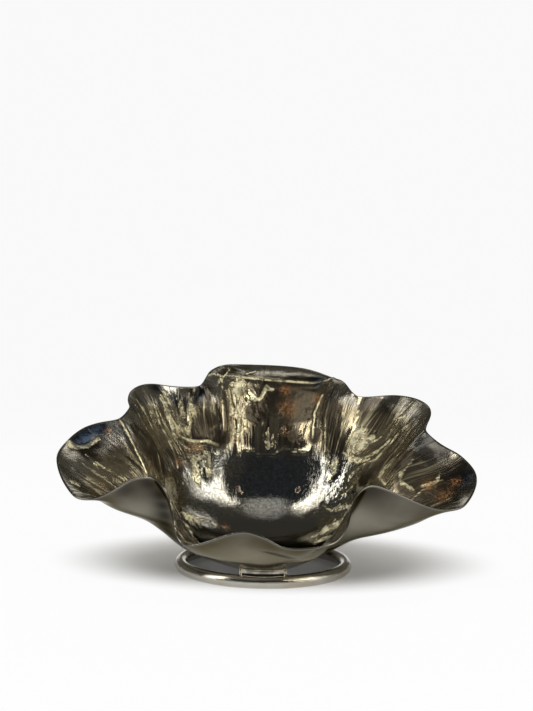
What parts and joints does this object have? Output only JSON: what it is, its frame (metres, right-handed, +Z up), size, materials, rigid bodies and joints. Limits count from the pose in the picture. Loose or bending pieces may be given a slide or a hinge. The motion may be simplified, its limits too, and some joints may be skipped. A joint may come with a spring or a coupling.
{
  "type": "offering bowl",
  "caption": "Hand-raised metal bowl with ruffled lobes, high at the back and low in front, soldered leaning on a round wire foot ring.",
  "frame": {"origin": "on the table, under the middle of the foot ring", "axes": "+Z up out of the bowl, +Y towards the high back lobe, -Y towards the low front lobe, +X along the bowl's greatest width"},
  "size_m": [0.207, 0.1978, 0.0922],
  "materials": {
    "polished_silver": "polished by hand, with hammer marks, faint streaks and light tarnish",
    "ring_silver": "polished drawn wire",
    "silver_solder": "flowed solder, scraped and polished"
  },
  "bodies": {
    "root": {"bowl_shell": "polished_silver", "foot_ring": "ring_silver", "front_solder_seam": "silver_solder", "rear_solder_seam": "silver_solder"}
  },
  "joints": []
}
